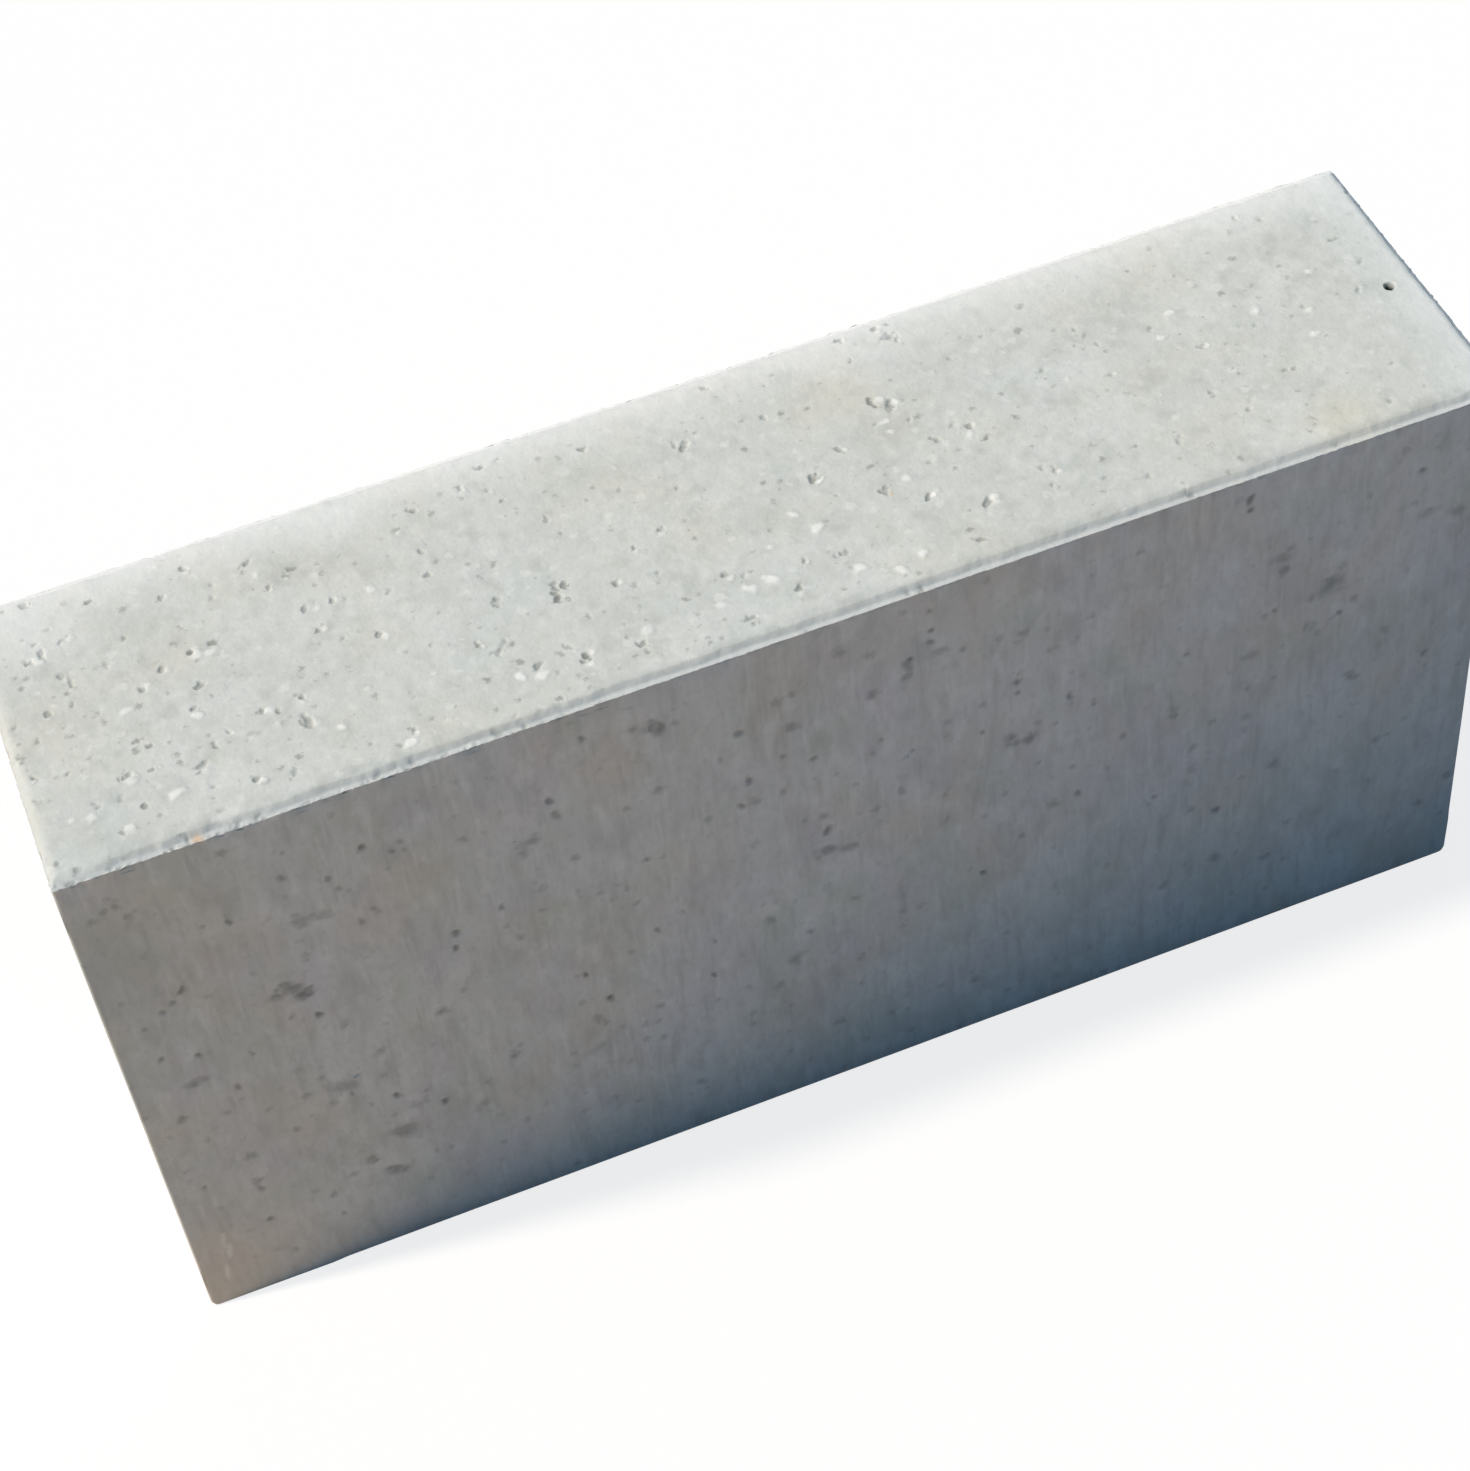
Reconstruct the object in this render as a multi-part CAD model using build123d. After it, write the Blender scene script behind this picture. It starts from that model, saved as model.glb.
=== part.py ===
from build123d import *
import os

# A curbstone pressed from concrete in a steel mould, standing on its base as it is laid.
# Millimetres. The origin is the middle of the base, +X runs along the stone,
# -Y is the face towards the road and +Z is up.

# The whole stone
length = 600.0
width = 150.0
height = 300.0

# The mould: the round of its upright corners, and the small round where the walls meet the base
corner_radius = 1.5
base_edge_radius = 1.0

# The rim that the press shoe leaves round the top: a flat ledge and then a slope along both sides,
# and one longer slope without a ledge at each end
ledge_width = 2.2
side_slope_run = 2.3
end_slope_run = 3.5
slope_rise = 2.8

# The air bubble that broke through the top face near the +X end, a little towards the road
bubble_diameter = 5.5
bubble_depth = 7.0
bubble_from_end = 14.5
bubble_from_middle = 2.5


def mould_walls(outline: Sketch) -> Part:
    """The stone as the mould's walls and floor shape it, from the base up to the ledge."""
    walls = extrude(outline, amount=height - slope_rise)
    base_edges = walls.edges().group_by(Axis.Z)[0]
    return fillet(base_edges, radius=base_edge_radius)


def pressed_top() -> Part:
    """What stands above the ledges: the slope on all four sides and the flat top face."""
    foot_width = width - 2 * ledge_width
    foot = RectangleRounded(length, foot_width, corner_radius)
    top_face = RectangleRounded(length - 2 * end_slope_run, foot_width - 2 * side_slope_run, corner_radius)
    return loft([Pos(Z=height - slope_rise) * foot, Pos(Z=height) * top_face], ruled=True)


def air_bubble() -> Part:
    """The hollow of the bubble: half of an egg shape, with its widest place at the top face."""
    egg = Plane.XZ * Ellipse(x_radius=bubble_diameter / 2, y_radius=bubble_depth)
    half_egg = split(egg, bisect_by=Plane.YZ)
    place = Pos(length / 2 - bubble_from_end, -bubble_from_middle, height)
    return place * revolve(half_egg, axis=Axis.Z)


def curbstone() -> Part:
    """The finished stone, in one piece."""
    outline = RectangleRounded(length, width, corner_radius)
    return mould_walls(outline) + pressed_top() - air_bubble()


os.makedirs("parts", exist_ok=True)
export_step(curbstone(), "parts/curbstone.step")
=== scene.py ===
"""A pressed concrete curbstone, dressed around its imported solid.

The stone is one closed mesh: a block with the press shoe's rim round its top, cut finer where the skin has
pits, grains and ragged edges, and then shaped by those flaws. Metres, with the origin at the middle of the
base, +X along the stone, -Y towards the road and +Z up.
"""

import logging
import math
import random
from dataclasses import dataclass, field, replace
from enum import Enum
from typing import NamedTuple

import bmesh
import bpy
from mathutils import Matrix, Vector, kdtree, noise


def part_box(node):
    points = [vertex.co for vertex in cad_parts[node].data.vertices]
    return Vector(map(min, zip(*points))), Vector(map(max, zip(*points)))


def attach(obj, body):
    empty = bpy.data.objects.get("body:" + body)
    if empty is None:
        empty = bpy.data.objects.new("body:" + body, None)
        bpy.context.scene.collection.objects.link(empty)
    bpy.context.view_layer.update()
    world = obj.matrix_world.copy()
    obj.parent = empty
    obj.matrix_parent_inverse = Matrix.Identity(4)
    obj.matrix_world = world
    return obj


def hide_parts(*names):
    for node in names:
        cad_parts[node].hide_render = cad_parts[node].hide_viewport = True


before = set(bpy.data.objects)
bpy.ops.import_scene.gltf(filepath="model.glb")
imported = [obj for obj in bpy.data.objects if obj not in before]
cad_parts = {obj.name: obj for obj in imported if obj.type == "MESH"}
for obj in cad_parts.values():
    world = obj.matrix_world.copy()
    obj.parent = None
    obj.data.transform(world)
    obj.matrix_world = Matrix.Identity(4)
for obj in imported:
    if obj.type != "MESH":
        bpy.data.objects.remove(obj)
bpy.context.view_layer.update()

LOG = logging.getLogger("curbstone")
MM = 0.001
NEAR = 1e-6
NODE = "curbstone"
SEED = 1803

Span = tuple[float, float]
Colour = tuple[float, float, float, float]

# A place in the photograph, in its 1470 by 1471 pixels
Pixel = tuple[float, float]
Pixels = tuple[Pixel, ...]


def linear(colour: str) -> Colour:
    """Turns an sRGB colour into the linear one that a socket takes.

    Args:
        colour: The colour as a hex value, such as "#C8CBC4".

    Returns:
        Linear red, green and blue, with an alpha of one.
    """
    shares = [int(colour[i : i + 2], 16) / 255 for i in (1, 3, 5)]
    red, green, blue = (s / 12.92 if s <= 0.04045 else ((s + 0.055) / 1.055) ** 2.4 for s in shares)
    return red, green, blue, 1.0


def per_metre(size_mm: float) -> float:
    """Returns the texture scale at which a pattern's features are about size_mm wide."""
    return 1.0 / (size_mm * MM)


def smooth(share: float) -> float:
    """Returns a share held between zero and one and eased at both ends."""
    share = min(1.0, max(0.0, share))
    return share * share * (3.0 - 2.0 * share)


def add_node(
    tree: bpy.types.NodeTree,
    kind: str,
    settings: dict[str | int, object] | None = None,
    links: dict[str | int, bpy.types.NodeSocket] | None = None,
) -> bpy.types.Node:
    """Adds a node to a tree, with its settings and its incoming links.

    Args:
        tree: The tree that the node goes into.
        kind: The node's type name.
        settings: Values by socket name or number, or by the name of a property of the node.
        links: Source sockets by the socket name or number that they feed.

    Returns:
        The new node.
    """
    node = tree.nodes.new(kind)
    for name, value in (settings or {}).items():
        if isinstance(name, int) or name in node.inputs:
            node.inputs[name].default_value = value
        else:
            setattr(node, name, value)
    for name, source in (links or {}).items():
        tree.links.new(source, node.inputs[name])
    return node


@dataclass(frozen=True)
class PhotoCamera:
    """The photograph's camera, solved from the straight edges of the stone."""

    eye: tuple[float, float, float] = (-0.2629, -0.8725, 1.2316)
    azimuth: float = -15.95
    elevation: float = 49.72
    roll: float = 6.94
    focal_pixels: float = 3295.6
    image: tuple[int, int] = (1470, 1471)
    sensor_mm: float = 36.0

    def axes(self) -> tuple[Vector, Vector, Vector]:
        """Works out which way the picture's right, its down and the view point.

        Returns:
            Unit vectors to the right, down and forward.
        """
        turn, tilt, roll = (math.radians(a) for a in (self.azimuth, self.elevation, self.roll))
        back = Vector((math.sin(turn) * math.cos(tilt), -math.cos(turn) * math.cos(tilt), math.sin(tilt)))
        level = (-back).cross(Vector((0, 0, 1))).normalized()
        plumb = (-back).cross(level)
        right = level * math.cos(roll) + plumb * math.sin(roll)
        down = plumb * math.cos(roll) - level * math.sin(roll)
        return right, down, -back

    def meet(self, pixel: Pixel, point: Vector, normal: Vector) -> Vector:
        """Finds where the line of sight through a pixel meets a plane.

        Args:
            pixel: The place in the photograph.
            point: Any point of the plane.
            normal: The plane's normal.

        Returns:
            The meeting point, in metres.
        """
        right, down, forward = self.axes()
        eye = Vector(self.eye)
        across, below = ((at - size / 2) / self.focal_pixels for at, size in zip(pixel, self.image))
        sight = forward + right * across + down * below
        return eye + sight * ((point - eye).dot(normal) / sight.dot(normal))

    def build(self) -> bpy.types.Object:
        """Makes the camera and hands it to the scene.

        Returns:
            The camera object.
        """
        right, down, forward = self.axes()
        data = bpy.data.cameras.new("photo_camera")
        data.sensor_width = self.sensor_mm
        data.lens = self.focal_pixels * self.sensor_mm / max(self.image)
        camera = bpy.data.objects.new("photo_camera", data)
        turn = Matrix((right, -down, -forward)).transposed().to_4x4()
        camera.matrix_world = Matrix.Translation(self.eye) @ turn
        bpy.context.scene.collection.objects.link(camera)
        bpy.context.scene.camera = camera
        return camera


class Skin(Enum):
    """The faces of the stone that carry flaws."""

    TOP = "top"
    ROAD = "road face"
    BACK = "back"
    LEFT = "left end"
    RIGHT = "right end"


class Flaw(Enum):
    """The kinds of mark in the concrete's skin."""

    PIT = "pit"
    HOLLOW = "hollow"
    GRAIN = "grain"
    # A shallow dent in a wall; the dark of its note is painted shade
    SMUDGE = "smudge"
    SCRATCH = "scratch"


class Relief(NamedTuple):
    """What the flaws do to one point of the skin."""

    depth: float
    # Tint of pits: partly grime, partly painted shade
    hollow: float
    grain: float
    # Painted shade in a wall's shallow dents
    smudge: float


@dataclass(frozen=True)
class SkinPlane:
    """A face's own flat frame."""

    middle: Vector
    along: Vector
    up: Vector
    inward: Vector
    length: float
    height: float

    def flat(self, point: Vector) -> tuple[float, float]:
        """Returns a point's place along and up the face, from its middle."""
        offset = point - self.middle
        return offset.dot(self.along), offset.dot(self.up)


# The mesh edge that draws a large pit and the one for other marks, and from which radius a pit is large
FINE_EDGE = 0.5 * MM
MARK_EDGE = 0.8 * MM
LARGE_PIT = 1.4 * MM

# How far apart in the noise two marks lie for each metre between them, so that no two outlines are alike
NOISE_STEP = 9


@dataclass(frozen=True)
class Mark:
    """One flaw, at its place on a face."""

    kind: Flaw
    u: float
    v: float
    radius: float
    depth: float
    shade: float
    stretch: float = 1.0
    turn: float = 0.0
    ragged: float = 0.5
    soft: float = 0.5
    lobe: float = 1.1

    @property
    def edge(self) -> float:
        """The mesh edge that draws this mark well enough."""
        if self.kind is Flaw.PIT and self.radius > LARGE_PIT:
            return FINE_EDGE
        return MARK_EDGE if self.kind in (Flaw.PIT, Flaw.GRAIN) else max(MARK_EDGE, self.radius / 2)

    @property
    def outline(self) -> float:
        """How far out the ragged outline lies, in radii. The noise seldom passes one half."""
        return 1.0 + 0.5 * self.ragged

    @property
    def reach(self) -> float:
        """How far from its middle the mark can show, with some to spare."""
        return 1.3 * self.radius * self.stretch * self.outline

    def away(self, u: float, v: float) -> float:
        """Returns how far from its middle a place is, in radii of the stretched mark."""
        along, up = u - self.u, v - self.v
        c, s = math.cos(self.turn), math.sin(self.turn)
        return math.hypot((along * c + up * s) / self.stretch, up * c - along * s) / self.radius

    def cover(self, u: float, v: float) -> float:
        """Tells how much of the mark shows at a place.

        Args:
            u: Place along the face.
            v: Place up the face.

        Returns:
            One in the middle of the mark, falling to zero at its ragged outline.
        """
        grit = noise.noise(Vector((u, v, NOISE_STEP * self.u)) / (self.lobe * self.radius))
        return smooth((1.0 - self.away(u, v) + self.ragged * grit) / self.soft)


# Smaller flaws round a main one: bearing, distance and size in its radius, and shade as a share of its own
ALL_ROUND: Span = (0.0, math.tau)
SATELLITE_FAR: Span = (0.6, 1.2)
SATELLITE_SIZE: Span = (0.5, 0.8)
SATELLITE_SHADE: Span = (0.5, 1.0)

# Crumbs pushed up on a pit's lit side: bearing, distance and size in the pit's radius, and the share of
# their pale tint, a painted highlight of that lit side
CRUMB = Mark(Flaw.GRAIN, 0.0, 0.0, 0.0, depth=0.2 * MM, shade=0.0, stretch=1.2, ragged=0.3, soft=0.7)
CRUMB_BEARING: Span = (-1.7, 0.5)
CRUMB_FAR: Span = (1.0, 1.4)
CRUMB_SIZE: Span = (0.7, 1.1)
CRUMB_PAINTED_HIGHLIGHT: Span = (0.2, 0.6)


@dataclass(frozen=True)
class FlawSort:
    """How the flaws of one sort vary.

    Radius and depth are in millimetres and turn is in radians. Ragged, soft and lobe shape the outline:
    how far its lobes swing, how wide it fades and how wide the lobes are, all in the mark's radius.
    """

    kind: Flaw
    radius: Span
    depth: Span
    shade: Span
    stretch: Span = (1.0, 1.8)
    turn: Span = (0.0, math.pi)
    ragged: float = 0.7
    soft: float = 0.5
    satellites: tuple[int, int] = (0, 0)
    crumbs: tuple[int, int] = (0, 0)
    lobe: float = 1.1

    def mark(self, dice: random.Random, u: float, v: float, size: float) -> Mark:
        """Makes one flaw of this sort.

        Args:
            dice: Source of what varies.
            u: Place along the face.
            v: Place up the face.
            size: Zero for the smallest and one for the largest.

        Returns:
            The mark.
        """
        radius, depth = (low + (high - low) * size for low, high in (self.radius, self.depth))
        shade, stretch, turn = (dice.uniform(*span) for span in (self.shade, self.stretch, self.turn))
        return Mark(
            self.kind, u, v, radius * MM, depth * MM, shade, stretch, turn,
            self.ragged, self.soft, self.lobe,
        )

    def burst(self, dice: random.Random, u: float, v: float) -> list[Mark]:
        """Makes one flaw with the smaller ones that lie round it.

        Args:
            dice: Source of what varies.
            u: Place along the face.
            v: Place up the face.

        Returns:
            The flaw, its satellites, and the crumbs pushed up on its lit side, pale with a painted
            highlight.
        """
        main = self.mark(dice, u, v, dice.random())
        marks = [main]
        for _ in range(dice.randint(*self.satellites)):
            way, far, size = (dice.uniform(*span) for span in (ALL_ROUND, SATELLITE_FAR, SATELLITE_SIZE))
            marks.append(
                replace(
                    main,
                    u=u + main.radius * far * math.cos(way),
                    v=v + main.radius * far * math.sin(way),
                    radius=main.radius * size,
                    depth=main.depth * size,
                    shade=main.shade * dice.uniform(*SATELLITE_SHADE),
                    turn=dice.uniform(*self.turn),
                )
            )
        for _ in range(dice.randint(*self.crumbs)):
            way, far = dice.uniform(*CRUMB_BEARING), dice.uniform(*CRUMB_FAR)
            x, y = u + main.radius * far * math.cos(way), v + main.radius * far * math.sin(way)
            radius, shade = main.radius * dice.uniform(*CRUMB_SIZE), dice.uniform(*CRUMB_PAINTED_HIGHLIGHT)
            marks.append(replace(CRUMB, u=x, v=y, radius=radius, shade=shade, turn=way))
        return marks


# Which way long marks lie, in radians from level
LEVEL: Span = (-0.5, 0.5)
UPRIGHT: Span = (1.1, 2.0)

# The sorts of flaw, by radius, depth, shade, stretch and turn. Shade is the share of a flaw's tint:
# in pits partly grime and partly painted shade, in dents painted shade, in grains their pale
OPEN_PIT = FlawSort(
    Flaw.PIT, (1.7, 2.6), (0.55, 0.9), (0.35, 0.65), (1.1, 2.0), ragged=0.7, soft=0.8,
    satellites=(0, 2), crumbs=(0, 1),
)
SMALL_PIT = FlawSort(
    Flaw.PIT, (1.3, 2.0), (0.45, 0.75), (0.25, 0.55), (1.1, 2.2), ragged=0.7, soft=0.8, crumbs=(0, 1)
)
FAINT_PIT = FlawSort(Flaw.PIT, (1.1, 1.7), (0.25, 0.5), (0.2, 0.4), (1.0, 1.8), ragged=0.5, soft=0.8)
STRAY_PIT = FlawSort(Flaw.PIT, (0.8, 1.4), (0.3, 0.5), (0.2, 0.45), (1.0, 2.2), soft=0.7)
SOFT_HOLLOW = FlawSort(Flaw.HOLLOW, (4.0, 6.5), (0.2, 0.5), (0.05, 0.12), soft=0.9, satellites=(0, 2))
BRIGHT_GRAIN = FlawSort(Flaw.GRAIN, (1.5, 2.7), (0.2, 0.4), (0.6, 1.0), ragged=0.5, soft=0.65)
STRAY_GRAIN = FlawSort(Flaw.GRAIN, (0.9, 1.6), (0.1, 0.25), (0.15, 0.5), ragged=0.3, soft=0.7)
RIM_NICK = FlawSort(
    Flaw.PIT, (1.2, 2.0), (0.2, 0.45), (0.3, 0.55), ragged=0.5, soft=0.9, satellites=(0, 2)
)
ARRIS_CHIP = FlawSort(Flaw.PIT, (0.9, 1.6), (0.2, 0.5), (0.1, 0.4), (1.0, 2.4), LEVEL, 0.5, 0.8)
DARK_PORE = FlawSort(
    Flaw.SMUDGE, (2.0, 2.8), (0.3, 0.6), (0.55, 0.85), (1.1, 1.7), UPRIGHT, ragged=0.5, soft=0.9
)
PORE = FlawSort(
    Flaw.SMUDGE, (1.7, 2.5), (0.2, 0.4), (0.3, 0.55), (1.1, 1.9), UPRIGHT, ragged=0.55, soft=0.9
)
# Dark and faint shallow dents in the walls, their dark painted shade
DARK_SHADED_DENT = FlawSort(
    Flaw.SMUDGE, (3.4, 4.6), (0.15, 0.3), (0.42, 0.65), (1.0, 1.5), LEVEL, ragged=0.75, soft=0.8,
    satellites=(1, 3), lobe=1.9,
)
SMUDGE = FlawSort(
    Flaw.SMUDGE, (3.4, 4.8), (0.1, 0.25), (0.3, 0.5), (1.0, 1.7), LEVEL, ragged=0.75, soft=0.9,
    satellites=(1, 3), lobe=1.9,
)
PALE_SCRATCH = FlawSort(Flaw.SCRATCH, (1.2, 1.8), (0.0, 0.0), (0.5, 0.8), (4.0, 7.0), (1.3, 1.7), 0.4)


class Strewn(NamedTuple):
    """How many flaws of a sort a face of the road face's length has. Lean gathers them at the left."""

    sort: FlawSort
    count: int
    lean: float = 1.0


STRAY_FLAWS = (Strewn(STRAY_PIT, 90, 1.7), Strewn(STRAY_GRAIN, 40, 1.4))
HIDDEN_FLAWS = (Strewn(DARK_PORE, 22), Strewn(PORE, 40), Strewn(DARK_SHADED_DENT, 10), Strewn(SMUDGE, 14))


@dataclass
class SkinFlaws:
    """The marks of one face, with a look-up of those near a place."""

    marks: list[Mark]
    search: float = 16.0 * MM
    tree: kdtree.KDTree = field(init=False)

    def __post_init__(self) -> None:
        """Fills the look-up."""
        self.tree = kdtree.KDTree(len(self.marks))
        for number, mark in enumerate(self.marks):
            self.tree.insert((mark.u, mark.v, 0.0), number)
        self.tree.balance()

    def near(self, u: float, v: float) -> list[tuple[Mark, float]]:
        """Returns the marks near a place, each with its distance."""
        return [(self.marks[i], d) for _, i, d in self.tree.find_range((u, v, 0.0), self.search)]

    def wanted_edge(self, u: float, v: float, growth: float) -> float:
        """Works out how fine the mesh has to be at a place.

        Args:
            u: Place along the face.
            v: Place up the face.
            growth: How much longer an edge may be for each metre away from a mark.

        Returns:
            The longest edge allowed there, in metres.
        """
        gaps = [(mark, mark.radius * (mark.away(u, v) - mark.outline)) for mark, _ in self.near(u, v)]
        return min((mark.edge + growth * max(0.0, gap) for mark, gap in gaps), default=math.inf)

    def relief(self, u: float, v: float) -> Relief:
        """Adds up what the marks do at a place.

        Args:
            u: Place along the face.
            v: Place up the face.

        Returns:
            The depth into the stone, and the shares of the pits' tint, partly grime and partly painted
            shade, of pale grain and of painted shade in dents.
        """
        depth = rise = hollow = grain = smudge = 0.0
        for mark, distance in self.near(u, v):
            if distance > mark.reach:
                continue
            cover = mark.cover(u, v)
            shade = mark.shade * cover
            if mark.kind in (Flaw.PIT, Flaw.HOLLOW):
                hollow = max(hollow, shade)
            elif mark.kind is Flaw.SMUDGE:
                smudge = max(smudge, shade)
            else:
                grain = max(grain, shade)
            if mark.kind is Flaw.GRAIN:
                rise = max(rise, mark.depth * math.sqrt(cover))
            else:
                depth = max(depth, mark.depth * cover)
        return Relief(depth - rise, min(1.0, hollow), grain, smudge)


@dataclass(frozen=True)
class PhotoMarks:
    """The flaws that stand out in the photograph, each at the middle of what shows there."""

    open_pits: Pixels = (
        (555, 586), (562, 584), (558, 597), (723, 573), (586, 656), (304, 608), (332, 600), (190, 651),
        (213, 642), (257, 778), (308, 721), (301, 697), (414, 729), (496, 600), (500, 649), (970, 426),
        (813, 478), (884, 490), (929, 496), (872, 402), (889, 404), (684, 446), (660, 529), (989, 501),
        (890, 335),
    )
    small_pits: Pixels = (
        (25, 606), (88, 602), (161, 598), (183, 568), (245, 563), (268, 587), (284, 575), (291, 567),
        (320, 630), (379, 633), (64, 639), (124, 638), (28, 663), (41, 654), (62, 676), (70, 683),
        (162, 668), (142, 688), (199, 685), (193, 708), (261, 710), (279, 711), (228, 731), (214, 745),
        (138, 740), (149, 745), (202, 764), (153, 768), (128, 775), (120, 798), (145, 805), (33, 778),
        (47, 714), (402, 745), (396, 530), (412, 510), (460, 488), (488, 490), (502, 500), (479, 466),
        (421, 550), (428, 574), (546, 518), (582, 448), (677, 487), (634, 547), (751, 617), (616, 583),
        (658, 571), (479, 644), (538, 665), (569, 646), (642, 643), (562, 697), (763, 416), (875, 328),
        (838, 340), (949, 357), (909, 419), (986, 437), (935, 438), (839, 449), (1111, 374), (1055, 469),
        (981, 538), (843, 552), (800, 587), (804, 560), (1202, 346), (1346, 191),
    )
    faint_pits: Pixels = (
        (1074, 329), (1084, 334), (1076, 344), (1097, 343), (1303, 306), (1235, 217), (1261, 219),
        (1239, 325), (1255, 324), (1204, 316), (1127, 392), (1285, 369), (1295, 367), (1211, 392),
        (1249, 408), (1311, 430), (1358, 289), (1308, 274),
    )
    soft_hollows: Pixels = (
        (1309, 217), (1276, 245), (1309, 276), (1055, 398), (483, 570), (66, 679), (288, 571),
        (1080, 336), (1245, 292), (700, 505), (1380, 284),
    )
    bright_grains: Pixels = (
        (371, 588), (317, 608), (386, 636), (197, 654), (211, 651), (126, 711), (199, 714), (270, 709),
        (131, 779), (178, 793), (72, 820), (92, 817), (130, 826), (341, 727), (412, 741), (732, 577),
        (751, 588), (721, 604), (770, 546), (793, 514), (591, 663), (649, 630), (520, 676), (544, 674),
        (880, 399), (885, 421), (891, 431), (970, 434), (818, 480), (907, 477), (933, 494), (995, 496),
        (819, 527), (923, 553), (903, 569), (861, 567), (772, 579), (1310, 309), (1256, 310),
        (1316, 333), (1162, 337), (1170, 312), (1308, 270), (38, 661), (262, 780),
    )
    rim_nicks: Pixels = (
        (185, 835), (262, 814), (367, 776), (806, 626), (907, 588), (922, 584), (1336, 440), (1191, 490),
        (55, 863), (75, 868),
    )
    rust_spot: Pixel = (197, 839)
    yellow_stain: Pixel = (1345, 417)
    ochre_grains: Pixels = ((891, 493), (819, 526))
    pale_patches: Pixels = ((25, 632), (335, 512))
    dark_pores: Pixels = (
        (361, 850), (550, 801), (582, 740), (646, 732), (646, 861), (502, 908), (456, 934), (456, 949),
        (228, 921), (181, 991), (586, 976), (610, 1000), (446, 1102), (398, 1096), (319, 1016),
        (271, 1220), (739, 735), (814, 760), (749, 782), (742, 807), (931, 643), (931, 631), (1018, 683),
        (1018, 693), (1070, 697), (715, 975), (983, 874), (1216, 811), (1340, 613), (1425, 653),
        (1425, 471), (1252, 500), (1252, 510), (829, 831), (911, 660),
    )
    pores: Pixels = (
        (282, 854), (282, 880), (328, 880), (339, 889), (373, 909), (363, 923), (203, 928), (173, 1004),
        (164, 1013), (292, 1018), (145, 1030), (162, 1061), (199, 1056), (253, 1055), (238, 1088),
        (353, 1094), (395, 1115), (438, 1151), (452, 1148), (262, 1189), (335, 1195), (345, 1214),
        (181, 1121), (205, 1189), (556, 816), (628, 889), (542, 911), (658, 931), (521, 1047),
        (647, 1025), (784, 757), (721, 761), (783, 793), (754, 845), (811, 932), (715, 942), (720, 1001),
        (793, 1005), (863, 983), (947, 821), (946, 796), (902, 792), (881, 741), (914, 752), (982, 733),
        (1094, 704), (1124, 736), (1079, 794), (1149, 805), (1155, 798), (1275, 612), (1266, 617),
        (1386, 629), (1312, 600), (929, 612), (965, 649), (1186, 656), (637, 905), (399, 842),
        (392, 852),
    )
    # Shallow dents in the road face whose dark is painted shade, dark ones first
    dark_shaded_dents: Pixels = (
        (524, 852), (533, 841), (304, 995), (292, 989), (277, 997), (193, 1086), (399, 1169),
        (372, 1161), (790, 730), (1028, 741), (1010, 740), (845, 849), (825, 851), (911, 670),
        (1350, 677), (656, 728),
    )
    shaded_dents: Pixels = (
        (300, 921), (320, 917), (405, 1132), (416, 1106), (485, 1103), (599, 1022), (602, 1046),
        (797, 959), (1175, 710), (1254, 655), (1285, 558), (1285, 571), (1430, 512), (1456, 512),
        (1333, 585), (643, 730), (115, 908), (340, 1090), (940, 652),
    )
    pale_scratches: Pixels = ((230, 1252), (224, 1240), (228, 1272))

    def on_top(self) -> tuple[tuple[FlawSort, Pixels], ...]:
        """Returns the places on the top, by sort."""
        return (
            (OPEN_PIT, self.open_pits),
            (SMALL_PIT, self.small_pits),
            (FAINT_PIT, self.faint_pits),
            (SOFT_HOLLOW, self.soft_hollows),
            (BRIGHT_GRAIN, self.bright_grains),
            (RIM_NICK, self.rim_nicks),
        )

    def on_road_face(self) -> tuple[tuple[FlawSort, Pixels], ...]:
        """Returns the places on the road face, by sort."""
        return (
            (DARK_PORE, self.dark_pores),
            (PORE, self.pores),
            (DARK_SHADED_DENT, self.dark_shaded_dents),
            (SMUDGE, self.shaded_dents),
            (PALE_SCRATCH, self.pale_scratches),
        )


class Swell(NamedTuple):
    """Unevenness from noise: the width of its waves and their height, in millimetres."""

    width: float
    height: float

    def at(self, point: Vector) -> float:
        """Returns its height at a point, in metres."""
        return self.height * MM * noise.noise(point / (self.width * MM))

    def push(self, point: Vector) -> Vector:
        """Returns the move that it gives a point, in metres."""
        return noise.noise_vector(point / (self.width * MM)) * (self.height * MM)


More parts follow.
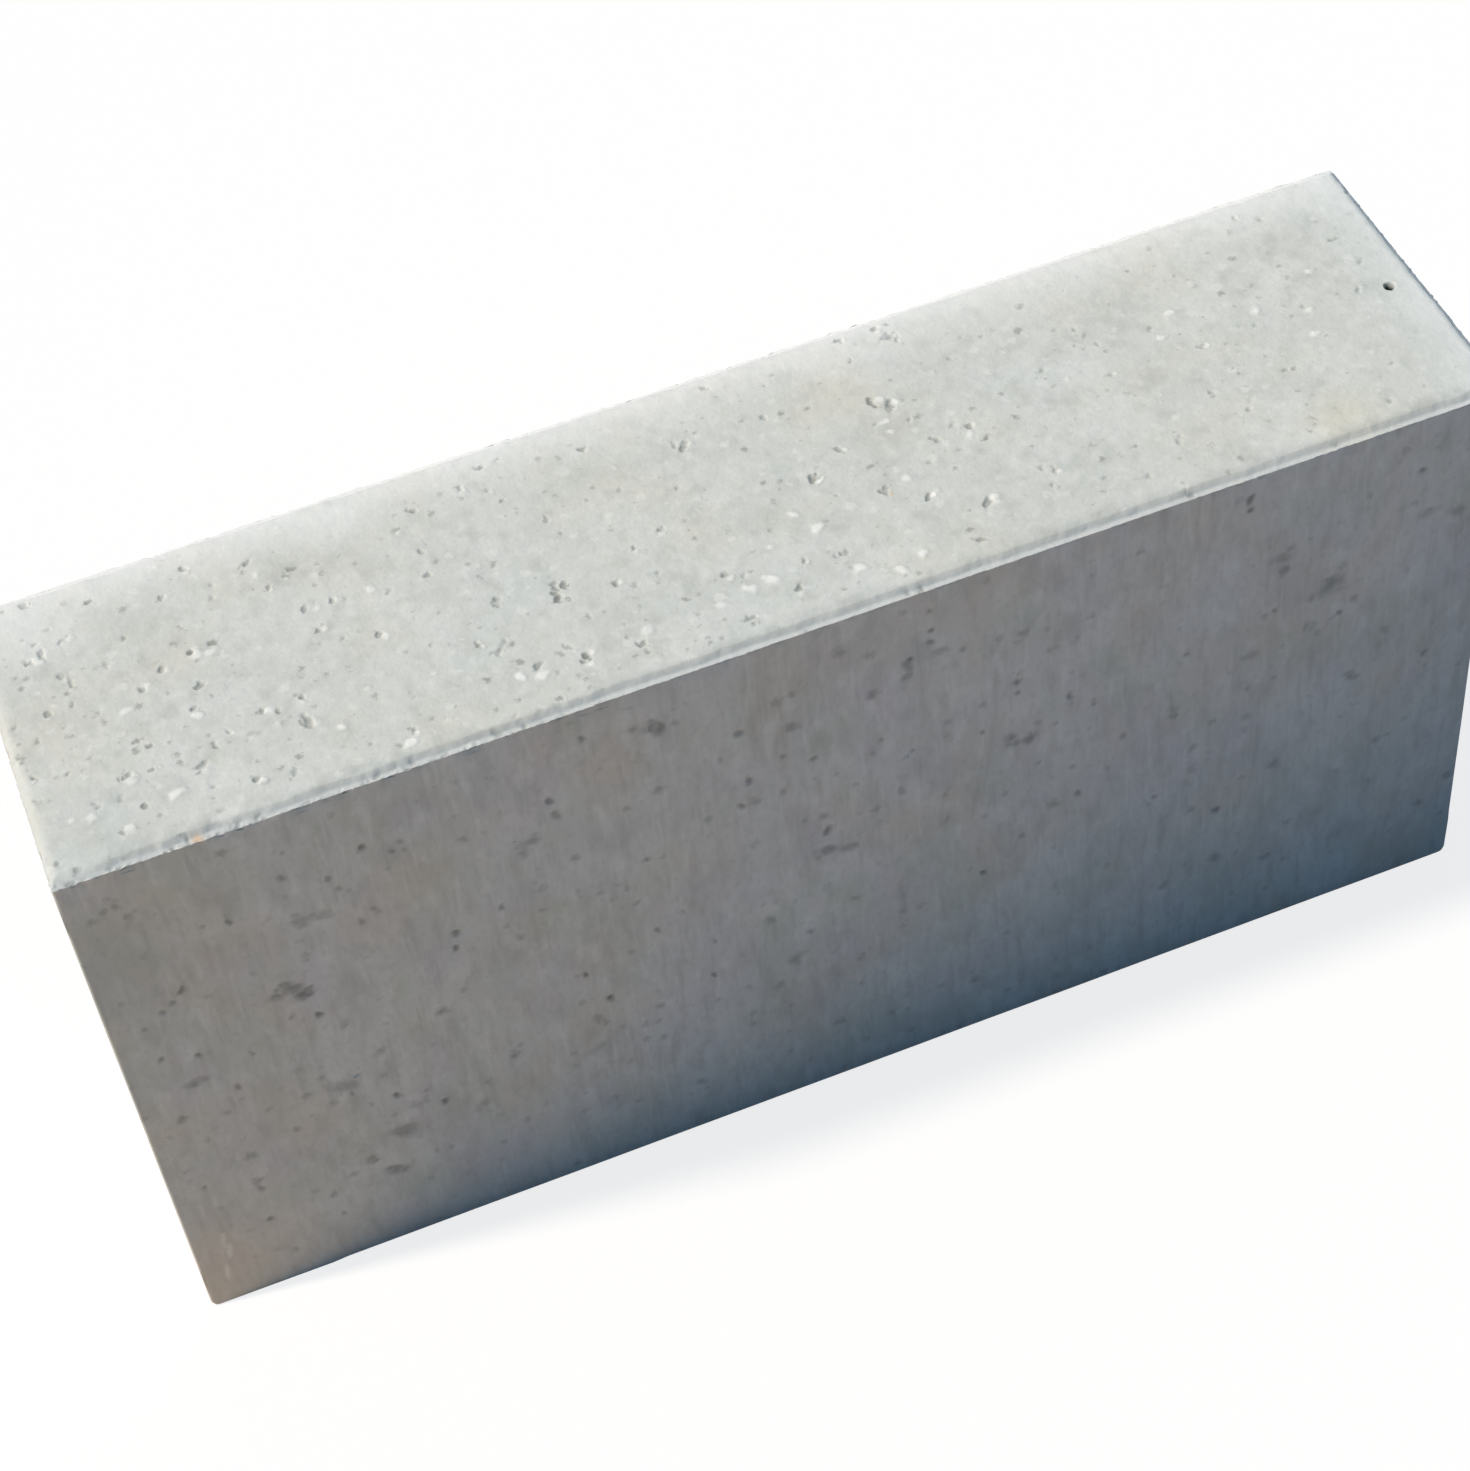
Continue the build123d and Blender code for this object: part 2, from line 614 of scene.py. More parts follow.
@dataclass
class Curbstone:
    """The stone: sizes, shape, flaws and finish."""

    camera: PhotoCamera
    seen: PhotoMarks = field(default_factory=PhotoMarks)

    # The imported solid's rim and rounds. The ledge is wider by the 0.4 mm that the walls are sunk
    ledge_width: float = 2.6 * MM
    side_slope_run: float = 2.3 * MM
    end_slope_run: float = 3.5 * MM
    slope_rise: float = 2.8 * MM
    corner_radius: float = 1.5 * MM
    base_edge_radius: float = 1.0 * MM

    # The open air bubble, painted near black inside as deep shade, its lit wall too. Its shade is above
    # one, so that it is full well before the middle
    bubble_radius: float = 2.75 * MM
    bubble_depth: float = 7.0 * MM
    bubble_from_end: float = 14.5 * MM
    bubble_from_middle: float = 2.5 * MM
    bubble_shade: float = 1.7

    # How the skin lies inside the solid, and how the lines of the rim wander
    skin_sunk: float = 0.4 * MM
    top_swell: Swell = Swell(24, 0.12)
    wall_swell: Swell = Swell(60, 0.12)
    rim_swells: tuple[Swell, Swell] = (Swell(14, 0.5), Swell(4, 0.3))
    rim_swell_fade: float = 6.0 * MM

    # The worn arris: how raggedly, how far in and down, and along which stretch of the front it is worse
    arris_ragged: float = 0.45
    left_ragged: float = 0.6
    left_fade: Span = (-0.2, 0.0)
    arris_grit: Swell = Swell(2, 0.8)
    arris_wear: float = 2.0 * MM
    arris_notch: Swell = Swell(6, 4.0)
    notch_more: float = 0.2 * MM
    notch_height: float = 6.0 * MM
    ragged_to: float = -0.1
    ragged_fade: float = 0.1
    arris_chips: int = 30

    # The rim near the left end: rubbed into one slope, rubbed a little for a longer way, and how many times
    # as wide that leaves the slopes of the side and of the end
    rubbed_to: float = 8.0 * MM
    rubbed_fade: float = 24.0 * MM
    rubbed_little: float = 0.35
    rubbed_little_to: float = 0.2
    rubbed_rim: float = 1.3
    rubbed_end: float = 1.4

    # The lower corners of the road face, worn round
    foot_wear: float = 4.0 * MM
    foot_wear_run: float = 20.0 * MM

    # Heights of the dull shoulder and of the painted warm bounce light on the left edge of the road face
    dull_height: float = 0.24
    painted_bounce_height: float = 0.02

    # Mesh edges by place, how they grow away from detail, and how far down the walls the rim's reach
    wall_edge: float = 6.5 * MM
    top_edge: float = 6.0 * MM
    base_edge: float = 14.0 * MM
    rim_edge: float = 0.8 * MM
    back_rim_edge: float = 1.76 * MM
    rim_band: float = 1.0 * MM
    edge_growth: float = 1.5

    low: Vector = field(init=False)
    high: Vector = field(init=False)
    planes: dict[Skin, SkinPlane] = field(init=False)
    flaws: dict[Skin, SkinFlaws] = field(init=False)

    def __post_init__(self) -> None:
        """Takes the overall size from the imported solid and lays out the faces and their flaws."""
        self.low, self.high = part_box(NODE)
        self.planes = self.lay_out_faces()
        dice = random.Random(SEED)
        # Unseeded, noise_vector starts from the clock, and the rim would differ from run to run
        noise.seed_set(SEED)
        self.flaws = {skin: SkinFlaws(self.flaws_of(skin, dice)) for skin in Skin}

    @property
    def ledge_level(self) -> float:
        """The height of the ledge along the sides, where the slopes start."""
        return self.high.z - self.slope_rise

    @property
    def rim_width(self) -> float:
        """How far in from a side the flat top starts."""
        return self.ledge_width + self.side_slope_run

    def lay_out_faces(self) -> dict[Skin, SkinPlane]:
        """Gives each face its flat frame.

        Returns:
            The frames by face.
        """
        length, width = self.high.x - self.low.x, self.high.y - self.low.y
        wall = self.ledge_level
        half = wall / 2
        x, y, z = Vector((1, 0, 0)), Vector((0, 1, 0)), Vector((0, 0, 1))
        return {
            Skin.TOP: SkinPlane(Vector((0, 0, self.high.z)), x, y, -z, length, width),
            Skin.ROAD: SkinPlane(Vector((0, self.low.y, half)), x, z, y, length, wall),
            Skin.BACK: SkinPlane(Vector((0, self.high.y, half)), -x, z, -y, length, wall),
            Skin.LEFT: SkinPlane(Vector((self.low.x, 0, half)), -y, z, x, width, wall),
            Skin.RIGHT: SkinPlane(Vector((self.high.x, 0, half)), y, z, -x, width, wall),
        }

    def place(
        self, dice: random.Random, skin: Skin, found: tuple[tuple[FlawSort, Pixels], ...]
    ) -> list[Mark]:
        """Puts flaws where the photograph shows them.

        Args:
            dice: Source of what the photograph doesn't settle.
            skin: The face that carries them.
            found: Their places in the photograph, by sort.

        Returns:
            The marks.
        """
        plane = self.planes[skin]
        marks = []
        for sort, pixels in found:
            for pixel in pixels:
                u, v = plane.flat(self.camera.meet(pixel, plane.middle, plane.inward))
                marks += sort.burst(dice, u, v)
        return marks

    def scatter(self, dice: random.Random, skin: Skin, strewn: tuple[Strewn, ...]) -> list[Mark]:
        """Strews flaws over a face.

        Args:
            dice: Source of places and sizes.
            skin: The face that carries them.
            strewn: The sorts, and how many of each.

        Returns:
            The marks.
        """
        plane = self.planes[skin]
        share = plane.length / self.planes[Skin.ROAD].length
        marks = []
        for sort, count, lean in strewn:
            for _ in range(round(count * share)):
                u = (2.0 * dice.random() ** lean - 1.0) * (plane.length / 2 - self.rim_width)
                v = dice.uniform(-1, 1) * (plane.height / 2 - self.rim_width)
                marks += sort.burst(dice, u, v)
        return marks

    def chip_arris(self, dice: random.Random) -> list[Mark]:
        """Breaks bits off the left third of the front rim.

        Args:
            dice: Source of places and sizes.

        Returns:
            The marks, on the top.
        """
        marks = []
        for _ in range(self.arris_chips):
            u = dice.uniform(self.low.x, self.ragged_to)
            v = self.low.y + self.ledge_width * dice.random()
            marks += ARRIS_CHIP.burst(dice, u, v)
        return marks

    def flaws_of(self, skin: Skin, dice: random.Random) -> list[Mark]:
        """Collects the flaws of one face.

        Args:
            skin: The face.
            dice: Source of the places and sizes that the photograph doesn't settle.

        Returns:
            The marks of that face.
        """
        if skin is Skin.ROAD:
            return self.place(dice, skin, self.seen.on_road_face())
        if skin is not Skin.TOP:
            return self.scatter(dice, skin, HIDDEN_FLAWS)
        u, v = self.high.x - self.bubble_from_end, -self.bubble_from_middle
        return [
            Mark(
                Flaw.PIT, u, v, self.bubble_radius, self.bubble_depth, self.bubble_shade,
                ragged=0.15, soft=0.6,
            ),
            *self.place(dice, skin, self.seen.on_top()),
            *self.chip_arris(dice),
            *self.scatter(dice, skin, STRAY_FLAWS),
        ]

    def faces_at(self, point: Vector) -> list[Skin]:
        """Tells which faces a point of the plain block lies on.

        Args:
            point: A point of the block before it is shaped.

        Returns:
            Its faces: two at an edge and three at a corner.
        """
        tests = {
            Skin.TOP: point.z > self.ledge_level - NEAR,
            Skin.ROAD: point.y < self.low.y + NEAR,
            Skin.BACK: point.y > self.high.y - NEAR,
            Skin.LEFT: point.x < self.low.x + NEAR,
            Skin.RIGHT: point.x > self.high.x - NEAR,
        }
        return [skin for skin, true in tests.items() if true]

    def inset(self, point: Vector) -> float:
        """Returns how far inside the stone's outline a point lies, seen from above."""
        return min(self.high.x - abs(point.x), self.high.y - abs(point.y))

    def block(self) -> bmesh.types.BMesh:
        """Makes the plain block up to the ledge, cut along the lines where its form changes.

        Returns:
            The block's mesh.
        """
        size = Vector((self.high.x - self.low.x, self.high.y - self.low.y, self.ledge_level))
        stand = Matrix.Translation((0, 0, size.z / 2)) @ Matrix.Diagonal((*size, 1))
        snap, first_cuts = 1e-7, 4
        mesh = bmesh.new()
        bmesh.ops.create_cube(mesh, size=1.0, matrix=stand)
        x, y, z = Vector((1, 0, 0)), Vector((0, 1, 0)), Vector((0, 0, 1))
        cuts = [(z * self.base_edge_radius, z)]
        for inset in (self.base_edge_radius, self.corner_radius, self.end_slope_run):
            cuts += [(x * side * (self.high.x - inset), x) for side in (-1, 1)]
        for inset in (self.base_edge_radius, self.corner_radius, self.ledge_width, self.rim_width):
            cuts += [(y * side * (self.high.y - inset), y) for side in (-1, 1)]
        for point, normal in cuts:
            whole = mesh.verts[:] + mesh.edges[:] + mesh.faces[:]
            bmesh.ops.bisect_plane(mesh, geom=whole, dist=snap, plane_co=point, plane_no=normal)
        long = [edge for edge in mesh.edges if edge.calc_length() > size.y / 2]
        bmesh.ops.subdivide_edges(mesh, edges=long, cuts=first_cuts, use_grid_fill=True)
        return mesh

    def rim_detail(self, point: Vector) -> float:
        """Tells how fine the mesh of the rim has to be.

        Args:
            point: A point of the block before it is shaped.

        Returns:
            The longest edge for the rim beside that point: shortest where the front arris is ragged.
        """
        if point.y < self.low.y + self.rim_width:
            return FINE_EDGE if point.x < self.ragged_to else self.rim_edge
        at_end = abs(point.x) > self.high.x - self.end_slope_run - NEAR
        return self.rim_edge if at_end else self.back_rim_edge

    def wanted_edge(self, point: Vector) -> float:
        """Works out how fine the mesh has to be at a point of the block.

        Args:
            point: A point of the block before it is shaped.

        Returns:
            The longest edge allowed there, in metres.
        """
        skins = self.faces_at(point)
        if not skins:
            return self.base_edge
        on_top = Skin.TOP in skins
        from_rim = self.ledge_level - point.z - self.rim_band
        if on_top:
            from_rim = self.inset(point) - self.rim_width
        from_foot = Vector((abs(point.x) - self.high.x, point.y - self.low.y, point.z)).length
        wanted = min(
            self.top_edge if on_top else self.wall_edge,
            self.rim_detail(point) + self.edge_growth * max(0.0, from_rim),
            self.rim_edge + self.edge_growth * max(0.0, from_foot - 2 * self.foot_wear),
        )
        for skin in skins:
            u, v = self.planes[skin].flat(point)
            wanted = min(wanted, self.flaws[skin].wanted_edge(u, v, self.edge_growth))
        return wanted

    def refine(self, mesh: bmesh.types.BMesh) -> None:
        """Halves the block's edges until each is as short as its place needs.

        Args:
            mesh: The block, which is changed.
        """
        slack, rounds = 1.25, 12
        for _ in range(rounds):
            long = [
                edge
                for edge in mesh.edges
                if edge.calc_length() > slack * self.wanted_edge((edge.verts[0].co + edge.verts[1].co) / 2)
            ]
            if not long:
                return
            bmesh.ops.subdivide_edges(
                mesh, edges=long, cuts=1, use_grid_fill=True, quad_corner_type="INNER_VERT"
            )

    def rise(self, point: Vector) -> float:
        """Works out how far above the ledge the top's form is.

        Args:
            point: A point of the block's top.

        Returns:
            The height above the ledge. Near the left end, ledge and slope are worn into one, and the
            slope at the end is worn round.
        """
        across, along = self.high.y - abs(point.y), self.high.x - abs(point.x)
        from_left = point.x - self.low.x
        whole = 1.0 - smooth((from_left - self.rubbed_to) / self.rubbed_fade)
        worn = max(whole, self.rubbed_little * (1.0 - smooth(from_left / self.rubbed_little_to)))
        side = (across - self.ledge_width) / self.side_slope_run
        rubbed = across / (self.rubbed_rim * self.rim_width)
        end = along / self.end_slope_run
        if point.x < 0:
            end = 1.0 - (1.0 - min(1.0, end / self.rubbed_end)) ** 2
        share = min(max(0.0, side) * (1.0 - worn) + rubbed * worn, end)
        return self.slope_rise * min(1.0, max(0.0, share))

    def sway(self, point: Vector) -> Vector:
        """Works out how the lines of the rim wander.

        Args:
            point: A point of the block's top.

        Returns:
            The move in the plane of the top, which fades out at the arris and inside the rim.
        """
        inset = self.inset(point)
        near = smooth(inset / self.ledge_width)
        near *= 1.0 - smooth((inset - self.rim_width) / self.rim_swell_fade)
        broad, fine = (swell.push(point) for swell in self.rim_swells)
        worn = 1.0 + smooth((self.ragged_to - point.x) / self.ragged_fade)
        wander = (broad + fine) * near * worn
        return Vector((wander.x, wander.y, 0.0))

    def lie(self, skin: Skin, point: Vector) -> float:
        """Gives the gentle unevenness of a face.

        Args:
            skin: The face.
            point: A point of it.

        Returns:
            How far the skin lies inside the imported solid's face.
        """
        swell = self.top_swell if skin is Skin.TOP else self.wall_swell
        return self.skin_sunk + swell.at(point)

    def wear(self, skin: Skin, point: Vector, reach: float) -> float:
        """Works out how far the ragged arris between ledge and wall wears a face back.

        Args:
            skin: The face that is worn. Bits of paste break off the ledge's edge, so the walls lose more.
            point: A point of the face.
            reach: How far it is from the arris.

        Returns:
            How far the face is worn back. Below zero, a burr of paste stands out there.
        """
        if reach > self.notch_height:
            return 0.0
        run = Vector((point.x, point.y, 0.0))
        back = self.arris_grit.at(run) * max(0.0, 1.0 - reach / self.arris_wear)
        if skin is not Skin.TOP:
            notch = max(0.0, self.arris_notch.at(run) + self.notch_more)
            back += notch * (1.0 - reach / self.notch_height) ** 2
        ragged = self.arris_ragged
        if point.y < self.low.y + self.rim_width:
            start, end = self.left_fade
            ragged += self.left_ragged * (1.0 - smooth((point.x - start) / (end - start)))
        return ragged * back

    def round_off(self, along: float, across: float) -> float:
        """Returns the share by which a square corner's point moves in to lie on its round."""
        if along <= 0 or across <= 0:
            return 0.0
        return 1.0 - max(along, across) / math.hypot(along, across)

    def rounded(self, point: Vector) -> Vector:
        """Rounds the upright corners, and wears the lower corners of the road face.

        Args:
            point: A point of the shaped block, with square corners.

        Returns:
            Its place on the rounded stone.
        """
        x, y, z = point
        along = abs(x) - (self.high.x - self.corner_radius)
        across = abs(y) - (self.high.y - self.corner_radius)
        share = self.round_off(along, across)
        x -= math.copysign(along * share, x) if share else 0.0
        y -= math.copysign(across * share, y) if share else 0.0
        wear = self.foot_wear * (1.0 - smooth((y - self.low.y) / self.foot_wear_run))
        along, below = abs(x) - (self.high.x - wear), wear - z
        share = self.round_off(along, below)
        x -= math.copysign(along * share, x) if share else 0.0
        return Vector((x, y, z + below * share))

    def shape(self, mesh: bmesh.types.BMesh) -> None:
        """Moves the block's points to the stone's real surface and notes each flaw's share there.

        Args:
            mesh: The refined block, which is changed.
        """
        # The notes: the pits' tint, partly grime and partly painted shade; pale grains; painted shade in
        # dents
        layers = {name: mesh.verts.layers.float.new(name) for name in ("hollow", "grain", "smudge")}
        least = 0.01 * MM
        base_round = self.base_edge_radius * (1.0 - math.sqrt(0.5))
        for vert in mesh.verts:
            plain = vert.co.copy()
            skins = self.faces_at(plain)
            moved = plain.copy()
            at_foot = base_round if skins and plain.z < NEAR else 0.0
            moved.z += at_foot
            if Skin.TOP in skins:
                moved += self.sway(plain)
                moved.z += self.rise(plain)
            for skin in skins:
                plane = self.planes[skin]
                relief = self.flaws[skin].relief(*plane.flat(plain))
                back = self.lie(skin, plain) + relief.depth + at_foot
                reach = self.inset(plain) if skin is Skin.TOP else self.ledge_level - plain.z
                back += self.wear(skin, plain, reach)
                moved += plane.inward * max(back, least)
                for name in layers:
                    vert[layers[name]] = max(vert[layers[name]], getattr(relief, name))
            vert.co = self.rounded(moved)

    def finishes(self) -> list[bpy.types.Material]:
        """Makes the finishes of the top and of the walls.

        Returns:
            The two materials, top first.
        """
        top = self.planes[Skin.TOP]
        ledge = Vector((0, 0, self.ledge_level))
        stain = self.camera.meet(self.seen.yellow_stain, top.middle, top.inward)
        rust = self.camera.meet(self.seen.rust_spot, ledge, top.inward)
        ochre, pale = (
            tuple(self.camera.meet(pixel, top.middle, top.inward) for pixel in pixels)
            for pixels in (self.seen.ochre_grains, self.seen.pale_patches)
        )
        pressed = ShoePressedConcrete(
            stain, rust, ochre, pale, self.high.y, self.high.x, self.ledge_level, self.slope_rise
        )
        heights = (self.dull_height, self.painted_bounce_height)
        shoulder, foot = (Vector((self.low.x, self.low.y, height)) for height in heights)
        return [pressed.material(), MouldWallConcrete(shoulder, foot).material()]

    def build(self) -> bpy.types.Object:
        """Builds the stone and puts its finishes on.

        Returns:
            The finished piece.
        """
        mesh = self.block()
        self.refine(mesh)
        for face in mesh.faces:
            face.smooth = True
            face.material_index = 0 if face.calc_center_median().z > self.ledge_level - NEAR else 1
        self.shape(mesh)
        mesh.normal_update()
        sharp = math.radians(65)
        for edge in mesh.edges:
            edge.smooth = edge.calc_face_angle(0.0) < sharp
        data = bpy.data.meshes.new(NODE)
        mesh.to_mesh(data)
        mesh.free()
        for material in self.finishes():
            data.materials.append(material)
        piece = bpy.data.objects.new("pressed_stone", data)
        bpy.context.scene.collection.objects.link(piece)
        return piece


@dataclass(frozen=True)
class Layer:
    """A thin layer of another colour over the skin, through a pattern of its own."""

    colour: str

    def share(self, tree: bpy.types.NodeTree, place: bpy.types.NodeSocket) -> bpy.types.NodeSocket:
        """Adds the layer's pattern to a material.

        Args:
            tree: The material's tree.
            place: Coordinates in metres.

        Returns:
            How much of the layer shows, from zero to one.
        """
        raise NotImplementedError

    def lay(
        self, tree: bpy.types.NodeTree, place: bpy.types.NodeSocket, below: bpy.types.NodeSocket
    ) -> bpy.types.NodeSocket:
        """Puts the layer on a material.

        Args:
            tree: The material's tree.
            place: Coordinates in metres.
            below: The colour under the layer.

        Returns:
            The colour with the layer on it.
        """
        settings = {"data_type": "RGBA", 7: linear(self.colour)}
        mixed = add_node(tree, "ShaderNodeMix", settings, {0: self.share(tree, place), 6: below})
        return mixed.outputs[2]


@dataclass(frozen=True)
class Veil(Layer):
    """A cloud through a noise pattern whose features have a real size along x, y and z."""

    size_mm: tuple[float, float, float]
    low: float
    high: float
    strength: float
    shift: float
    detail: float = 3.0

    def share(self, tree: bpy.types.NodeTree, place: bpy.types.NodeSocket) -> bpy.types.NodeSocket:
        """Adds the cloud's pattern.

        Args:
            tree: The material's tree.
            place: Coordinates in metres.

        Returns:
            How much of the cloud shows.
        """
        spread = {"Location": (self.shift,) * 3, "Scale": tuple(per_metre(size) for size in self.size_mm)}
        spot = add_node(tree, "ShaderNodeMapping", spread, {"Vector": place})
        cloud = {"Scale": 1.0, "Detail": self.detail}
        pattern = add_node(tree, "ShaderNodeTexNoise", cloud, {"Vector": spot.outputs[0]})
        span = {"From Min": self.low, "From Max": self.high, "To Max": self.strength}
        return add_node(tree, "ShaderNodeMapRange", span, {"Value": pattern.outputs["Fac"]}).outputs[0]


@dataclass(frozen=True)
class Specks(Layer):
    """Single grains of sand, or pinholes, in different sizes and with uneven outlines."""

    spacing_mm: float
    radius_mm: float
    strength: float
    shift: float
    uneven: float = 0.45
    soft: float = 0.1

    def share(self, tree: bpy.types.NodeTree, place: bpy.types.NodeSocket) -> bpy.types.NodeSocket:
        """Adds the specks' pattern.

        Args:
            tree: The material's tree.
            place: Coordinates in metres.

        Returns:
            How much of a speck shows.
        """
        spread = {"Location": (self.shift,) * 3, "Scale": (per_metre(self.spacing_mm),) * 3}
        spot = add_node(tree, "ShaderNodeMapping", spread, {"Vector": place})
        grit = add_node(
            tree, "ShaderNodeTexNoise", {"Scale": 4.0, "Detail": 2.0}, {"Vector": spot.outputs[0]}
        )
        bent = add_node(
            tree, "ShaderNodeVectorMath", {"operation": "MULTIPLY_ADD", 1: (self.uneven,) * 3},
            {0: grit.outputs["Color"], 2: spot.outputs[0]},
        )
        cells = add_node(tree, "ShaderNodeTexVoronoi", {"Scale": 1.0}, {"Vector": bent.outputs[0]})
        own = add_node(tree, "ShaderNodeSeparateColor", None, {0: cells.outputs["Color"]})
        # The cube makes small specks common and large ones rare
        few = add_node(tree, "ShaderNodeMath", {"operation": "POWER", 1: 3.0}, {0: own.outputs[0]})
        reach = add_node(
            tree, "ShaderNodeMath", {"operation": "MULTIPLY", 1: self.radius_mm / self.spacing_mm},
            {0: few.outputs[0]},
        )
        inside = add_node(
            tree, "ShaderNodeMath", {"operation": "SUBTRACT"},
            {0: reach.outputs[0], 1: cells.outputs["Distance"]},
        )
        span = {"From Max": self.soft, "To Max": self.strength}
        return add_node(tree, "ShaderNodeMapRange", span, {"Value": inside.outputs[0]}).outputs[0]


@dataclass(frozen=True)
class Spot(Layer):
    """A stain round one place, with a soft, uneven outline. It fades from inner to outer, in radii."""

    middle: Vector
    radius: float
    strength: float
    inner: float = 0.6
    outer: float = 1.5

    def share(self, tree: bpy.types.NodeTree, place: bpy.types.NodeSocket) -> bpy.types.NodeSocket:
        """Adds the stain's pattern.

        Args:
            tree: The material's tree.
            place: Coordinates in metres.

        Returns:
            How much of the stain shows.
        """
        away = add_node(
            tree, "ShaderNodeVectorMath", {"operation": "DISTANCE", 1: tuple(self.middle)}, {0: place}
        )
        grit = add_node(
            tree, "ShaderNodeTexNoise", {"Scale": 2.0 / self.radius, "Detail": 3.0}, {"Vector": place}
        )
        uneven = add_node(
            tree, "ShaderNodeMath", {"operation": "MULTIPLY_ADD", 1: self.radius},
            {0: grit.outputs["Fac"], 2: away.outputs["Value"]},
        )
        fade = {"From Min": self.outer * self.radius, "From Max": self.inner * self.radius}
        span = {**fade, "To Max": self.strength}
        return add_node(tree, "ShaderNodeMapRange", span, {"Value": uneven.outputs[0]}).outputs[0]


@dataclass(frozen=True)
class EdgeTint(Layer):
    """A tint that is full at an edge and fades over a width before it, or past it if that is negative."""

    axis: int
    edge: float
    width: float
    strength: float

    def share(self, tree: bpy.types.NodeTree, place: bpy.types.NodeSocket) -> bpy.types.NodeSocket:
        """Adds the strip's pattern.

        Args:
            tree: The material's tree.
            place: Coordinates in metres.

        Returns:
            How much of the strip shows.
        """
        split = add_node(tree, "ShaderNodeSeparateXYZ", None, {0: place})
        span = {"From Min": self.edge - self.width, "From Max": self.edge}
        near = add_node(tree, "ShaderNodeMapRange", span, {"Value": split.outputs[self.axis]})
        square = add_node(
            tree, "ShaderNodeMath", {"operation": "MULTIPLY"}, {0: near.outputs[0], 1: near.outputs[0]}
        )
        return add_node(
            tree, "ShaderNodeMath", {"operation": "MULTIPLY", 1: self.strength}, {0: square.outputs[0]}
        ).outputs[0]


@dataclass(frozen=True)
class Flawed(Layer):
    """The tint of the flaws that the mesh notes at its points, broken up by grit.

    In pits it is partly grime and partly painted shade, in dents painted shade.
    """

    note: str
    low: float = 0.0
    high: float = 1.0
    grit_mm: float = 3.0
    least: float = 1.0

    def share(self, tree: bpy.types.NodeTree, place: bpy.types.NodeSocket) -> bpy.types.NodeSocket:
        """Adds the flaws' pattern.

        Args:
            tree: The material's tree.
            place: Coordinates in metres.

        Returns:
            How much of the tint shows.
        """
        noted = add_node(tree, "ShaderNodeAttribute", {"attribute_name": self.note})
        span = {"From Min": self.low, "From Max": self.high}
        cover = add_node(tree, "ShaderNodeMapRange", span, {"Value": noted.outputs["Fac"]})
        grit = add_node(
            tree, "ShaderNodeTexNoise", {"Scale": per_metre(self.grit_mm), "Detail": 3.0},
            {"Vector": place},
        )
        broken = add_node(
            tree, "ShaderNodeMapRange", {"From Min": 0.3, "From Max": 0.6, "To Min": self.least},
            {"Value": grit.outputs["Fac"]},
        )
        return add_node(
            tree, "ShaderNodeMath", {"operation": "MULTIPLY"}, {0: cover.outputs[0], 1: broken.outputs[0]}
        ).outputs[0]


@dataclass(frozen=True)
class Grit:
    """Fine relief of the skin: how wide its bumps are and how high."""

    size_mm: float
    height_mm: float
    detail: float


@dataclass(frozen=True)
class PressedConcrete:
    """Matt concrete: a skin colour, the layers over it and the fine relief."""

    roughness: float = field(default=0.92, kw_only=True)
    gloss: float = field(default=0.15, kw_only=True)

    def layers(self) -> tuple[Layer, ...]:
        """Returns the layers from the lowest up."""
        raise NotImplementedError

    def dress(self, name: str, skin: str, relief: tuple[Grit, ...]) -> bpy.types.Material:
        """Makes the material.

        Args:
            name: The material's name.
            skin: The skin's colour.
            relief: The fine relief, from the smallest up.

        Returns:
            A matt material on the stone's own coordinates.
        """
        made = bpy.data.materials.new(name)
        made.use_nodes = True
        tree = made.node_tree
        tree.nodes.clear()
        place = add_node(tree, "ShaderNodeTexCoord").outputs["Object"]
        first, *others = self.layers()
        ground = {"data_type": "RGBA", 6: linear(skin), 7: linear(first.colour)}
        colour = add_node(tree, "ShaderNodeMix", ground, {0: first.share(tree, place)}).outputs[2]
        for layer in others:
            colour = layer.lay(tree, place, colour)
        shader = add_node(
            tree, "ShaderNodeBsdfPrincipled",
            {"Roughness": self.roughness, "Specular IOR Level": self.gloss}, {"Base Color": colour},
        )
        normal = None
        for grit in relief:
            pattern = {"Scale": per_metre(grit.size_mm), "Detail": grit.detail}
            height = add_node(tree, "ShaderNodeTexNoise", pattern, {"Vector": place}).outputs["Fac"]
            links = {"Height": height} if normal is None else {"Height": height, "Normal": normal}
            bump = {"Strength": 1.0, "Distance": grit.height_mm * MM}
            normal = add_node(tree, "ShaderNodeBump", bump, links).outputs[0]
        tree.links.new(normal, shader.inputs["Normal"])
        add_node(tree, "ShaderNodeOutputMaterial", None, {"Surface": shader.outputs[0]})
        return made


